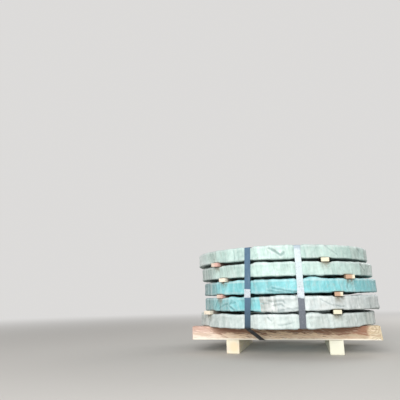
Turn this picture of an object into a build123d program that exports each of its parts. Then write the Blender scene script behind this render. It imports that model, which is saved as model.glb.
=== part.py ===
from build123d import *
import os
from math import cos, radians, sin, sqrt, tan

# A strapped pallet of slit steel coils, in millimetres. The front of the pack is -Y and +X is its right.
# It stands on its runners, and the origin is under the middle of its bounding box, on the floor.

# Steel coils from the top down, and how far each one has slid to the right
strip_width = 60
coil_radius = 492
bore_radius = 254
slide_1 = -4
slide_2 = 16
slide_3 = 29.5
slide_4 = 30.5
slide_5 = 3
coil_slides = [slide_1, slide_2, slide_3, slide_4, slide_5]

# Wrap wound round each coil and through its eye: each turn of its band makes one flat outside
# and one in the eye. Its thickness is at the middle of a flat and on the coil's two faces
band_turns = 36
first_band = -17.5
wrap_outside = 3
wrap_in_bore = 4
wrap_on_face = 2

# Laths between the coils, and how far their ends stand out of the coils
lath_width = 45
lath_thickness = 20
lath_length = 240
hidden_end = 4
short_end = 12
usual_end = 20
long_end = 36

# The laths of each gap from the top down: the angle from the front at which each comes out of the
# coils, the end that stands out, and how many degrees it is turned from straight out
lath_layers = [
    [(-42.5, usual_end, 10), (28, usual_end, -28), (139, short_end, 6), (-143, usual_end, -8)],
    [(-38.5, usual_end, 13), (41.5, usual_end, -27), (141, usual_end, -5), (-139, short_end, 9)],
    [(-44.5, hidden_end, 11), (31.5, usual_end, -32), (146, usual_end, 4), (-141, short_end, -6)],
    [(-53, long_end, 21), (31.5, usual_end, -31), (143, short_end, 7), (-145, usual_end, -4)],
]

# Pallet timbers
timber_width = 70
timber_height = 70
timber_edge = 3
cross_timber_length = 980
cross_timber_reach = 290
runner_length = 584
runner_spacing = 532

# Steel straps: the angle of each strap's seal from the front, how many degrees the strap leans to
# the right about its seal, and whether it goes under the cross timber or only round the coils
strap_width = 32
strap_thickness = 0.9
strap_clearance = 0.2
straps = {
    "front_left": (-17.8, 2.8, True),
    "front_right": (12.6, 0, False),
    "back_left": (-162.5, 0, True),
    "back_right": (167, 0, False),
}

# Crimped seal over the overlapped ends of each strap
seal_length = 42
seal_wall = 1
seal_lip = 10
seal_height = 310
seal_clearance = 0.1
crimp_depth = 2.5
crimp_spacing = 20
strap_tail = 30

# Sizes that follow from those above. The wrap's fold over a coil's edge leaves a fifth of the
# skin there, and a strap bends as sharply as the sharpest edge that it is pulled over
coil_count = len(coil_slides)
coil_top = strip_width / 2 + wrap_on_face
wrap_radius = coil_radius + wrap_outside
eye_radius = bore_radius - wrap_in_bore
wrap_corner = 0.8 * (wrap_on_face + min(wrap_outside, wrap_in_bore))
coil_pitch = 2 * coil_top + lath_thickness
deck = 2 * timber_height
strap_bend = min(wrap_corner, timber_edge)


def coil_height(number):
    """Height of a coil's mid plane above the floor; coil 1 is the top one."""
    return deck + coil_top + (coil_count - number) * coil_pitch


def coil_place(number):
    return Pos(coil_slides[number - 1], 0, coil_height(number))


def steel_coil():
    """The wound strip: one turned ring about Z, with its bore."""
    middle = (bore_radius + coil_radius) / 2
    section = Pos(middle, 0) * Rectangle(coil_radius - bore_radius, strip_width)
    return revolve(Plane.XZ * section, Axis.Z)


def band_plan():
    """A wrapped coil seen from above: a flat for each turn of the band, outside and in the eye."""
    turned = Rot(0, 0, first_band - 90 - 180 / band_turns)
    outside = RegularPolygon(wrap_radius, band_turns, major_radius=False)
    eye = RegularPolygon(eye_radius, band_turns, major_radius=False)
    return turned * (outside - eye)


def wrap():
    """The wound skin with its edges folded over, and the steel coil's own shape left out of it."""
    ring = extrude(band_plan(), coil_top, both=True)
    rims = ring.edges().group_by(Axis.Z)
    return chamfer(rims[0] + rims[-1], wrap_corner) - steel_coil()


def lath(angle, stand_out, turned):
    """One lath, turned from straight out about the place where it comes out of the coils."""
    bar = Pos(stand_out - lath_length / 2, 0) * Box(lath_length, lath_width, lath_thickness)
    return Rot(0, 0, angle - 90) * Pos(wrap_radius, 0) * Rot(0, 0, turned) * bar


def lath_layer(number):
    """The laths under a coil, centred between it and the next one down."""
    middle = (coil_slides[number - 1] + coil_slides[number]) / 2
    height = coil_height(number) - coil_top - lath_thickness / 2
    return Compound([Pos(middle, 0, height) * lath(*place) for place in lath_layers[number - 1]])


def timber(length):
    """A sawn timber along X with its long edges broken, standing on its underside."""
    bar = Box(length, timber_width, timber_height, align=(Align.CENTER, Align.CENTER, Align.MIN))
    return chamfer(bar.edges().filter_by(Axis.X), timber_edge)


def cross_timber_y(side):
    """Where the front (side -1) or back (side 1) cross timber's middle line lies."""
    return side * (cross_timber_reach - timber_width / 2)


def strap_directions(angle):
    """The flat directions straight out to a strap and to its right, seen from outside."""
    out = Vector(sin(radians(angle)), -cos(radians(angle)), 0)
    return out, Vector(0, 0, 1).cross(out)


def aside(lean, up):
    """How far to the right a leaning strap lies at a height."""
    return (up - seal_height) * tan(radians(lean))


def strap_plane(angle, lean):
    """The plane of a strap's middle line: its X points outwards and its Y up along the strap."""
    out, right = strap_directions(angle)
    leaning = Vector(0, 0, 1) + right * tan(radians(lean))
    return Plane(right * aside(lean, 0), x_dir=out, z_dir=out.cross(leaning))


def along_strap(lean, up):
    """A height as it is measured along a leaning strap from the floor."""
    return up / cos(radians(lean))


def lane(plan, angle, to_right):
    """The nearest and furthest point of a plan that a strap, laid outwards past the middle, crosses."""
    strip = Pos(coil_radius, to_right) * Rectangle(2 * coil_radius, strap_width)
    crossed = (Rot(0, 0, 90 - angle) * plan) & strip
    return crossed.bounding_box().min.X, crossed.bounding_box().max.X


def strapped_layers(angle, under_timber):
    """The plan of each thing that a strap is pulled tight round, its underside and its top."""
    for number in range(1, coil_count + 1):
        height = coil_height(number)
        plan = Pos(coil_slides[number - 1], 0) * band_plan()
        yield plan, height - coil_top, height + coil_top
    if under_timber:
        side = -1 if cos(radians(angle)) > 0 else 1
        plan = Pos(0, cross_timber_y(side)) * Rectangle(cross_timber_length, timber_width)
        yield plan, deck - timber_height, deck


def pulled_tight(points):
    """The convex line round some points, anticlockwise."""

    def half(ordered):
        line = []
        for x, y in ordered:
            while len(line) > 1:
                (ax, ay), (bx, by) = line[-2], line[-1]
                if (bx - ax) * (y - ay) - (by - ay) * (x - ax) > 1e-6:
                    break
                line.pop()
            line.append((x, y))
        return line[:-1]

    ordered = sorted(points)
    return half(ordered) + half(ordered[::-1])


def strap_corners(angle, lean, under_timber):
    """The points in a strap's plane that it bends about, each strap_bend inside an edge of the pack."""
    corners = []
    for plan, low, high in strapped_layers(angle, under_timber):
        for up, inwards in ((low, strap_bend), (high, -strap_bend)):
            near, far = lane(plan, angle, aside(lean, up + inwards))
            for outwards in (near + strap_bend, far - strap_bend):
                corners.append((outwards, along_strap(lean, up) + inwards))
    return pulled_tight(corners)


def seal_plane(angle, lean, under_timber):
    """On a strap's inner face at the seal: X lies across the strap, Y along it, Z outwards."""
    corners = strap_corners(angle, lean, under_timber)
    ends = zip(corners, corners[1:] + corners[:1])
    seal_up = along_strap(lean, seal_height)
    start, end = next((a, b) for a, b in ends if a[1] <= seal_up < b[1])
    run = (Vector(*end) - Vector(*start)).normalized()
    at = Vector(*start) + run * ((seal_up - start[1]) / run.Y) + Vector(run.Y, -run.X) * strap_bend
    plane = strap_plane(angle, lean)
    y_dir = plane.x_dir * run.X + plane.y_dir * run.Y
    z_dir = strap_directions(angle)[1].cross(y_dir)
    return Plane(plane.from_local_coords(at), x_dir=y_dir.cross(z_dir), z_dir=z_dir)


def strap(angle, lean, under_timber):
    """A closed strap loop, its overlapped tail lying on it at the seal."""
    core = make_face(Polyline(*strap_corners(angle, lean, under_timber), close=True))
    inside = offset(core, strap_bend, kind=Kind.ARC)
    outside = offset(core, strap_bend + strap_thickness, kind=Kind.ARC)
    across = strap_directions(angle)[1]
    section = strap_plane(angle, lean) * (outside - inside)
    loop = extrude(section, strap_width / 2, dir=across, both=True)
    tail = Pos(0, 0, 1.5 * strap_thickness) * Box(strap_width, 2 * strap_tail, strap_thickness)
    return loop + seal_plane(angle, lean, under_timber) * tail


def seal_block(wall, play=0):
    """A block round both layers of strap at the origin's seal, a wall thick and with some play."""
    width = strap_width + 2 * (wall + play)
    depth = 2 * strap_thickness + 2 * (wall + play)
    return Pos(0, 0, strap_thickness) * Box(width, seal_length + 2 * play, depth)


def seal(angle, lean, under_timber):
    """A seal folded round both layers of the strap, with its lips behind and crimps in its sides."""
    body = seal_block(seal_wall + seal_clearance) - seal_block(seal_clearance)
    side = strap_width / 2 + seal_clearance + seal_wall
    back = -seal_clearance - seal_wall / 2
    body -= Pos(0, 0, back) * Box(2 * (side - seal_lip), seal_length, seal_wall)
    notch = Rot(0, 0, 45) * Box(sqrt(2) * crimp_depth, sqrt(2) * crimp_depth, 8 * seal_wall)
    for x in (-side, side):
        for y in (-crimp_spacing / 2, crimp_spacing / 2):
            body -= Pos(x, y) * notch
    return seal_plane(angle, lean, under_timber) * body


def seal_dent(angle, lean, under_timber):
    """The room that a seal has pressed for itself in the wrap behind it."""
    block = seal_block(seal_wall, seal_clearance + strap_clearance)
    return seal_plane(angle, lean, under_timber) * block


def strap_groove(angle, lean):
    """The groove that a strap round the coils alone has pressed in the timber under it."""
    width = strap_width + 2 * strap_clearance
    depth = strap_thickness + strap_clearance
    groove = Pos(wrap_radius, aside(lean, deck)) * Box(2 * wrap_radius, width, depth)
    return Pos(0, 0, deck - depth / 2) * Rot(0, 0, angle - 90) * groove


def cross_timber(side):
    """The front cross timber for side -1 and the back one for side 1."""
    bar = Pos(0, cross_timber_y(side), deck - timber_height) * timber(cross_timber_length)
    for angle, lean, under_timber in straps.values():
        if not under_timber:
            bar -= strap_groove(angle, lean)
    return bar


def runner(side):
    """The left runner for side -1 and the right one for side 1."""
    return Pos(side * runner_spacing / 2, 0) * Rot(0, 0, 90) * timber(runner_length)


pieces = {}
dents = [seal_dent(*turn) for turn in straps.values()]
for number in range(1, coil_count + 1):
    pieces[f"coil_{number}"] = coil_place(number) * steel_coil()
    pieces[f"wrap_{number}"] = coil_place(number) * wrap() - dents
for number in range(1, coil_count):
    pieces[f"spacers_{number}"] = lath_layer(number)
pieces["cross_timber_front"] = cross_timber(-1)
pieces["cross_timber_back"] = cross_timber(1)
pieces["runner_left"] = runner(-1)
pieces["runner_right"] = runner(1)
for name, turn in straps.items():
    pieces[f"strap_{name}"] = strap(*turn)
    pieces[f"seal_{name}"] = seal(*turn)

box = Compound([part for piece in pieces.values() for part in piece.solids()]).bounding_box()
home = Pos(-box.center().X, -box.center().Y, -box.min.Z)

os.makedirs("parts", exist_ok=True)
for name, piece in pieces.items():
    export_step(home * piece, f"parts/{name}.step")
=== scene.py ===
"""Finishes a strapped pack of slit steel coils: its woven wraps, laths, pallet, straps and seals."""
from functools import reduce
from math import cos, pi, radians, sin

import bmesh
import bpy
import numpy as np
from mathutils import Matrix, Vector, noise


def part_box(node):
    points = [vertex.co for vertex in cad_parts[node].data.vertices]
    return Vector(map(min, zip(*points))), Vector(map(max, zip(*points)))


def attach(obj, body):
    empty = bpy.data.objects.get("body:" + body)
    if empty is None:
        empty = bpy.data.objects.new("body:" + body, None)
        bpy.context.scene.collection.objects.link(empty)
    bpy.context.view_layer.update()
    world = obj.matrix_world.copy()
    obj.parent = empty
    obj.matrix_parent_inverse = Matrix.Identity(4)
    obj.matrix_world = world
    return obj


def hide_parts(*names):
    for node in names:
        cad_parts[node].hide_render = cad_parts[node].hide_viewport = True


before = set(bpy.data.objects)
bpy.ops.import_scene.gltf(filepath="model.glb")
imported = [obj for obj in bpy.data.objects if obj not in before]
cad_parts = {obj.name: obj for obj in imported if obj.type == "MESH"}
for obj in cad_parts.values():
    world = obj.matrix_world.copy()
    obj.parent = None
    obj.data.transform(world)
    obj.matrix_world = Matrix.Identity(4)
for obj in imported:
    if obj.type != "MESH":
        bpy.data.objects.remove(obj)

bl_info = {
    "name": "Steel Coil Pack",
    "version": (1, 0, 0),
    "blender": (4, 5, 0),
    "location": "View3D > Sidebar > Coil Pack",
    "description": "Winds the woven wraps and finishes the laths, pallet, straps and seals of a coil pack",
    "category": "Object",
}

MM = 0.001
COILS = range(1, 6)
STRAPS = ("front_left", "front_right", "back_left", "back_right")


# The frame's own sizes

def points_of(mesh):
    """Every vertex of a mesh, as rows of x, y and z."""
    flat = np.zeros(3 * len(mesh.vertices))
    mesh.vertices.foreach_get("co", flat)
    return flat.reshape(-1, 3)


def corners(node):
    return points_of(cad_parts[node].data)


def middle(node):
    low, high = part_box(node)
    return (low + high) / 2


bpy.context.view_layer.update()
AXIS_X = (middle("runner_left").x + middle("runner_right").x) / 2
COIL_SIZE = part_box("coil_1")[1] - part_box("coil_1")[0]
COIL_RADIUS = COIL_SIZE.x / 2
COIL_HALF = COIL_SIZE.z / 2
BORE_RADIUS = np.hypot(*(corners("coil_1")[:, :2] - middle("coil_1")[:2]).T).min()


class Strip:
    """A straight strip seen from above: a lath, or a strap's run, which may lean to one side as it rises."""

    def __init__(self, points):
        flat = points[:, :2]
        self.centre = flat.mean(0)
        away = self.centre - (AXIS_X, 0)
        self.azimuth = np.arctan2(away[0], -away[1])
        self.along = np.linalg.svd(flat - self.centre)[2][0]
        self.along *= np.sign(self.along @ away)
        self.across = np.array([-self.along[1], self.along[0]])
        side = (flat - self.centre) @ self.across
        self.lean, self.start = np.polyfit(points[:, 2], side, 1)
        self.half_length = np.abs((flat - self.centre) @ self.along).max()
        self.half_width = np.abs(side - self.start - self.lean * points[:, 2]).max()
        self.low, self.high = points[:, 2].min(), points[:, 2].max()

    def beside(self, x, y, z):
        """How far points lie to the side of the strip's edges; those behind the stack's axis are far off."""
        side = (x - self.centre[0]) * self.across[0] + (y - self.centre[1]) * self.across[1]
        ahead = (x - AXIS_X) * self.along[0] + y * self.along[1]
        return np.where(ahead > 0, np.abs(side - self.start - self.lean * z) - self.half_width, 1.0)


def laths_of(layer):
    """The laths of one layer, one in each quarter of the stack."""
    points = corners(f"spacers_{layer}")
    quarter = 2 * (points[:, 0] > AXIS_X) + (points[:, 1] > 0)
    return [Strip(points[quarter == part]) for part in range(4)]


LATHS = {layer: laths_of(layer) for layer in range(1, 5)}
STRAP_LINES = [Strip(corners(f"strap_{name}")) for name in STRAPS]


# Sizes and colours that a user may change

def length(name, value, description):
    return bpy.props.FloatProperty(
        name=name, description=description, default=value, min=0, unit="LENGTH", precision=4
    )


def colour(name, value, description):
    return bpy.props.FloatVectorProperty(
        name=name, description=description, default=value, min=0, max=1, size=3, subtype="COLOR"
    )


def angle(name, value, description):
    return bpy.props.FloatProperty(
        name=name, description=description, default=radians(value), subtype="ANGLE"
    )


def wattage(name, value, description):
    return bpy.props.FloatProperty(name=name, description=description, default=value, min=0, unit="POWER")


class WrapSettings(bpy.types.PropertyGroup):
    band_width: length("Band width", 120 * MM, "Width of the woven band that is wound round each coil")
    turns: bpy.props.IntProperty(
        name="Turns", description="Times the band goes through the eye of one coil",
        default=36, min=12, max=60,
    )
    cloth: length("Cloth thickness", 0.42 * MM, "Step from one layer of the band up to the next")
    corner: length("Corner radius", 5 * MM, "Radius at which the band folds over the coil's edges")
    slack: length("Rim slack", 1.5 * MM, "How far the band stands off the coil's edges between the laths")
    sag: length("Sag", 13 * MM, "How far the band hangs down under each coil beside its eye")
    facet: length("Facet", 1.5 * MM, "How far each turn's edges stand off the coil beside its middle")
    fold: length("Folds", 2.0 * MM, "Depth of the folds that the pull on the band makes")
    mint: colour("Mint", (0.70, 0.91, 0.84), "Colour of the two upper wraps")
    teal: colour("Teal", (0.30, 0.77, 0.82), "Colour of the third wrap and of the left of the fourth")
    grey: colour("Grey", (0.86, 0.91, 0.90), "Colour of the right of the fourth wrap")
    pale: colour("Pale", (0.82, 0.90, 0.87), "Colour of the lowest wrap")
    dust: colour("Dust", (0.58, 0.56, 0.51), "Colour of the dust that lies on the wraps")


class WoodSettings(bpy.types.PropertyGroup):
    edge: length("Worn edge", 2.2 * MM, "Width of the worn corner along a sawn timber")
    rough: length("Roughness", 0.9 * MM, "Depth of the unevenness of a sawn face")
    yellow: colour("Yellow wood", (0.97, 0.93, 0.74), "Fresh pale yellow sapwood")
    cream: colour("Cream wood", (0.95, 0.87, 0.74), "Dry cream wood")
    pink: colour("Pink wood", (0.86, 0.62, 0.54), "Pink tinged heartwood")
    orange: colour("Orange wood", (0.64, 0.43, 0.30), "Resinous orange wood")
    brown: colour("Brown stain", (0.28, 0.12, 0.075), "Red brown stain in the cross timbers")


class SteelSettings(bpy.types.PropertyGroup):
    coil: colour("Strip steel", (0.62, 0.64, 0.66), "Colour of the steel strip")
    blued: colour("Blued strap", (0.115, 0.21, 0.31), "Colour of the painted straps")
    zinc: colour("Zinc strap", (0.67, 0.76, 0.79), "Colour of a clean zinc coated strap")
    # Dirt on the zinc, and the painted shade of the zinc straps below their seals
    dirt_and_shade: colour("Dull strap", (0.17, 0.19, 0.225), "Colour of a dirty zinc coated strap")
    seal: colour("Seal", (0.74, 0.80, 0.86), "Colour of the seals")


class StageSettings(bpy.types.PropertyGroup):
    floor: colour("Floor", (0.62, 0.60, 0.57), "Colour of the plain floor")
    backdrop: colour("Backdrop", (0.72, 0.71, 0.70), "Colour of the plain background")
    camera_place: bpy.props.FloatVectorProperty(
        name="Camera", description="Where the camera stands", default=(0.1099, -2.5643, 0.2858), size=3,
        subtype="TRANSLATION", unit="LENGTH",
    )
    yaw: angle("Camera yaw", 13.7275, "How far the camera is turned to the left of the pack's front")
    pitch: angle("Camera pitch", 13.736, "How far the camera looks up")
    roll: angle("Camera roll", -1.0993, "How far the camera leans to one side")
    focal: bpy.props.FloatProperty(
        name="Focal length", description="In widths of the picture", default=405.97 / 400, min=0.1
    )
    sky: bpy.props.FloatProperty(name="Sky", description="Strength of the even light", default=0.48, min=0)
    key: wattage("Key light", 165, "Power of the large front light")
    fill: wattage("Fill light", 60, "Power of the side light")


# Shader nodes

def connect(tree, node, sockets):
    """Sets each named or numbered socket of a node to a value, or links it to an output."""
    for name, value in sockets.items():
        if isinstance(value, bpy.types.NodeSocket):
            tree.links.new(value, node.inputs[name])
        else:
            node.inputs[name].default_value = value


def add(tree, kind, sockets=None, **settings):
    """A new node with its settings and sockets."""
    made = tree.nodes.new(kind)
    for name, value in settings.items():
        setattr(made, name, value)
    connect(tree, made, sockets or {})
    return made


def maths(tree, operation, first, second=0.0, third=0.0):
    return add(tree, "ShaderNodeMath", {0: first, 1: second, 2: third}, operation=operation).outputs[0]


def times(tree, *values):
    return reduce(lambda first, second: maths(tree, "MULTIPLY", first, second), values)


def plus(tree, *values):
    return reduce(lambda first, second: maths(tree, "ADD", first, second), values)


def raggedly(tree, vector, scale, size, value):
    """A value that soft noise raises by up to a size."""
    return maths(tree, "MULTIPLY_ADD", mottle(tree, vector, scale), size, value)


def distance_to(tree, value, place):
    return maths(tree, "ABSOLUTE", maths(tree, "SUBTRACT", value, place))


def from_axis(tree, first, second):
    """How far a point lies from one axis, by its places on the two others."""
    squares = (maths(tree, "POWER", side, 2.0) for side in (first, second))
    return maths(tree, "SQRT", plus(tree, *squares))


def axes(tree, vector):
    """A vector's three parts."""
    return tuple(add(tree, "ShaderNodeSeparateXYZ", {0: vector}).outputs)


def blend(tree, share, first, second, mode="MIX"):
    """One colour mixed into another by a share."""
    solid = [(*c, 1) if isinstance(c, tuple) else c for c in (first, second)]
    return add(
        tree, "ShaderNodeMix", {0: share, 6: solid[0], 7: solid[1]}, data_type="RGBA", blend_type=mode
    ).outputs[2]


def layered(tree, body, *coats):
    """A colour with others laid over it in turn, each by its share and perhaps its own way of mixing."""
    for share, shade, *mode in coats:
        body = blend(tree, share, body, shade, *mode)
    return body


def spread(tree, value, low, high, to_low=0.0, to_high=1.0):
    """A value between two limits, eased on to two others."""
    sockets = {0: value, 1: low, 2: high, 3: to_low, 4: to_high}
    return add(tree, "ShaderNodeMapRange", sockets, interpolation_type="SMOOTHSTEP").outputs[0]


def stretched(tree, vector, scale, location=(0, 0, 0)):
    return add(tree, "ShaderNodeMapping", {"Vector": vector, "Scale": scale, "Location": location}).outputs[0]


def turned(tree, vector, rotation):
    return add(tree, "ShaderNodeMapping", {"Vector": vector, "Rotation": rotation}).outputs[0]


def mottle(tree, vector, scale, detail=3.0, roughness=0.55):
    """Soft noise from 0 to 1, with a given number of spots to the metre."""
    sockets = {"Vector": vector, "Scale": scale, "Detail": detail, "Roughness": roughness}
    return add(tree, "ShaderNodeTexNoise", sockets).outputs["Fac"]


def streaky(tree, vector, scale, detail=3.0, roughness=0.55, location=(0, 0, 0)):
    """Soft noise whose number of spots to the metre is given for each axis."""
    return mottle(tree, stretched(tree, vector, scale, location), 1.0, detail, roughness)


def embossed(tree, *reliefs):
    """Reliefs laid over one another, each with its height, depth and strength."""
    normal = {}
    for height, depth, strength in reliefs:
        sockets = {"Height": height, "Distance": depth, "Strength": strength, **normal}
        normal = {"Normal": add(tree, "ShaderNodeBump", sockets).outputs[0]}
    return normal["Normal"]


def attribute(tree, name, output="Fac"):
    return add(tree, "ShaderNodeAttribute", attribute_name=name).outputs[output]


def new_finish(name):
    """A new material, its node tree and its shader."""
    finish = bpy.data.materials.new(name)
    finish.use_nodes = True
    return finish, finish.node_tree, finish.node_tree.nodes["Principled BSDF"]


def object_place(tree):
    return add(tree, "ShaderNodeTexCoord").outputs["Object"]


def rgb(values, factor=1):
    """A colour's three numbers, each times a factor."""
    return tuple(channel * factor for channel in values)


# Shapes shared by the pieces

def alone(piece):
    bpy.ops.object.select_all(action="DESELECT")
    piece.select_set(True)
    bpy.context.view_layer.objects.active = piece


def store(mesh, name, values, kind="FLOAT"):
    """Stores a value, a vector or a colour for every vertex of a mesh."""
    made = mesh.attributes.new(name, kind, "POINT")
    field = {"FLOAT": "value", "FLOAT_VECTOR": "vector", "FLOAT_COLOR": "color"}[kind]
    made.data.foreach_set(field, np.ravel(values))


def coat(piece, finish):
    piece.data.materials.clear()
    piece.data.materials.append(finish)


def stand_in(piece, node, finish):
    """Coats a new piece and lets it stand in for a node of the frame."""
    coat(piece, finish)
    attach(piece, "root")
    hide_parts(node)


def ease(value):
    value = np.clip(value, 0, 1)
    return value * value * (3 - 2 * value)


def near(distance, whole, none):
    """1 up to one distance and 0 from another on."""
    return ease((none - distance) / (none - whole))


def ripple(points, scale, seed):
    """Smooth noise between about -1 and 1 at rows of points, each axis with its own bumps to the metre."""
    scaled = points * np.asarray(scale) + np.asarray([17.3, -9.1, 5.7]) * seed
    return np.array([noise.noise(p) for p in scaled.tolist()])


# The woven wraps

TWO_TONE = 4                        # the coil whose wrap changes colour
SECOND_TONE = (-171, -14.0)         # from which angle to which, in degrees from the front
BOTTOM_LAYER = 0.3 * MM             # how far the lowest layer of the band stands off the steel
TAIL_ROWS = 7                       # rows of the band's mesh past its last whole turn
COLUMNS = 25                        # squares of the band's mesh across its width
FIRST_TURN = radians(-17.5)         # where windings start, from the front
START_SHIFT = 0.13                  # how much further round each lower coil's winding starts, in radians
TAPE = 2.5 * MM                     # width of one tape of the cloth

# Of each coil's wrap: looseness of its folds, painted shade on its left and on its right, soot on its left
# that is partly painted shade, slot
WRAPS = {
    1: (0.75, 0.02, 0.22, 0.8, "mint_wrap"),
    2: (0.7, 0.30, 0.0, 1.2, "mint_wrap"),
    3: (0.85, 0.45, 0.12, 1.2, "teal_wrap"),
    4: (1.25, 0.22, 0.0, 0.7, "two_tone_wrap"),
    5: (0.9, 0.02, 0.0, 0.8, "pale_wrap"),
}

# Puffs in the wraps' rims: coil, side, angle from the front, half their width in degrees and height
# in millimetres
PUFFS = [
    (1, -1, -31, 5, 3), (1, -1, 4, 9, 3.5), (2, 1, -11, 7, 3.5), (2, -1, 23, 3, 4), (1, -1, -24, 6, 3),
    (1, -1, -70, 22, -1), (2, -1, -60, 28, -1), (3, 1, -60, 28, -1), (3, 1, 17, 7, 8), (3, 1, -27, 5, 3),
    (4, 1, -33, 4, 4.5), (4, 1, -23, 4, 4), (4, 1, 0, 9, 7), (4, -1, -5, 15, 6), (4, -1, 80, 9, 7),
    (5, 1, 19, 7, 7), (5, 1, -37, 6, 4), (2, 1, 150, 8, 4), (3, -1, -125, 9, 5), (4, 1, 118, 8, 5),
]

# Creases in the wraps: coil, depth in millimetres, and each point's angle from the front and height
# in millimetres
CREASES = [
    (1, 5.0, [(-3.0, 23), (3.6, -15), (5.2, -2)]),
    (1, 1.6, [(30, 28), (38, -12)]),
    (1, 1.8, [(-25.6, 24), (-25, -24)]),
    (1, 1.8, [(57, 26), (61, 4)]),
    (2, 1.8, [(54, 24), (60, -10)]),
    (2, 1.6, [(-47, 20), (-50, -22)]),
    (3, 2.6, [(-6.4, -7), (-2, -15), (1.3, -23), (9, -28)]),
    (3, 2.2, [(-9, -21), (0, -28)]),
    (3, 1.8, [(39, 24), (38, -12)]),
    (4, 3.2, [(-9, 11), (-0.9, 14), (0.4, 2)]),
    (4, 2.4, [(-12.3, 4), (-9, 1)]),
    (4, 2.8, [(-6.6, -7), (-2.4, -2), (0, -14)]),
    (4, 3.0, [(0.5, -25), (6.5, -21), (11, -22)]),
    (4, 2.4, [(-4, -27), (1.5, -25)]),
    (4, 2.8, [(-47, 22), (-50.6, -22)]),
    (4, 3.0, [(-33, 20), (-36, -2), (-32, -26)]),
    (4, 2.4, [(-46, -24), (-40, 0), (-31, 10)]),
    (4, 2.4, [(-64, 16), (-65, -22)]),
    (4, 1.8, [(20, 22), (26, -8), (36, -20)]),
    (5, 2.4, [(-6.5, 20), (-5, 7)]),
    (5, 2.0, [(-1, -13), (3.2, -14), (7.5, 0)]),
    (5, 3.0, [(-50, 24), (-52.7, -24)]),
    (5, 1.8, [(-58, 24), (-61, -24)]),
]
CREASE_UNIT = 3.2 * MM              # depth from which a crease counts as a full one


def section_path(bore, radius, half, corner):
    """Points and outward normals once round a coil's section, up the bore first, as (out, up) pairs."""
    points, normals = [], []

    def straight(start, end, normal, count):
        for step in range(count):
            points.append(np.array(start) + (np.array(end) - start) * step / count)
            normals.append(normal)

    def bend(centre, first, count):
        for step in range(count):
            at = radians(first - 90 * step / count)
            points.append(np.array(centre) + corner * np.array([cos(at), sin(at)]))
            normals.append((cos(at), sin(at)))

    rise, near_eye, near_rim = half - corner, bore + corner, radius - corner
    straight((bore, 0), (bore, rise), (-1, 0), 3)
    bend((near_eye, rise), 180, 4)
    straight((near_eye, half), (near_rim, half), (0, 1), 20)
    bend((near_rim, rise), 90, 5)
    straight((radius, rise), (radius, -rise), (1, 0), 11)
    bend((near_rim, -rise), 0, 5)
    straight((near_rim, -half), (near_eye, -half), (0, -1), 20)
    bend((near_eye, -rise), -90, 4)
    straight((bore, -rise), (bore, 0), (-1, 0), 3)
    return np.array(points), np.array(normals)


class Winding:
    """How a band goes round one coil: its turns' angles, and where each turn lies over the last."""

    def __init__(self, turns, first, seed):
        random = np.random.default_rng(seed)
        waves = [(3, 0.020), (7, 0.011), (11, 0.008), (13, 0.006)]
        table = np.arange(-6.0, turns + 6.0, 0.02)
        swing = sum(
            size * np.sin(2 * pi * count * table / turns + random.uniform(0, 2 * pi)) for count, size in waves
        )
        self.table = table
        self.angles = first + 2 * pi * table / turns + swing
        self.edge = random.uniform(0.3, 1.5, turns)
        self.tone = random.uniform(0, 1, turns)
        self.dust = random.uniform(0, 1, turns) ** 2

    def centre(self, turn):
        return np.interp(turn, self.table, self.angles)

    def turn_at(self, azimuth):
        return np.interp(azimuth, self.angles, self.table)

    def bring_seam_to(self, azimuth, half_angle):
        """Turns the winding so that an edge between two turns shows at an angle on the coil's outer side."""
        edge = self.turn_at(azimuth + half_angle) - 0.5
        self.angles += azimuth + half_angle - self.centre(round(float(edge)) + 0.5)


def from_crease(azimuth, height, path):
    """How far places on a coil's outer side lie from a crease's line."""
    x, y = azimuth * COIL_RADIUS, height
    nearest = np.full(x.shape, 1.0)
    stops = [(radians(a) * COIL_RADIUS, h * MM) for a, h in path]
    for (ax, ay), (bx, by) in zip(stops, stops[1:]):
        run = (bx - ax) ** 2 + (by - ay) ** 2
        share = np.clip(((x - ax) * (bx - ax) + (y - ay) * (by - ay)) / run, 0, 1)
        nearest = np.minimum(nearest, np.hypot(x - ax - share * (bx - ax), y - ay - share * (by - ay)))
    return nearest


def pressed(number, x, y, z, up):
    """Where laths and timbers hold a wrap against its coil's faces, where straps do, and where the wrap below
    a lath is darker.
    """
    on_face, under_strap, soiled = np.zeros((3, len(x)))
    for laths, side in ((LATHS.get(number - 1, []), 1), (LATHS.get(number, []), -1)):
        for lath in laths:
            beside = lath.beside(x, y, z)
            on_face = np.maximum(on_face, near(beside, 1 * MM, 13 * MM) * ease(0.5 + 3 * side * up))
            if side > 0:
                soiled = np.maximum(soiled, near(beside, -11 * MM, 9 * MM))
    if number == COILS[-1]:
        for name in ("front", "back"):
            low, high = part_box(f"cross_timber_{name}")
            away = np.maximum(low.y - y, y - high.y)
            on_face = np.maximum(on_face, near(away, 2 * MM, 14 * MM) * (up < 0.5))
    for strap in STRAP_LINES:
        under_strap = np.maximum(under_strap, near(strap.beside(x, y, z), 1 * MM, 10 * MM))
    return on_face, under_strap, soiled


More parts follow.
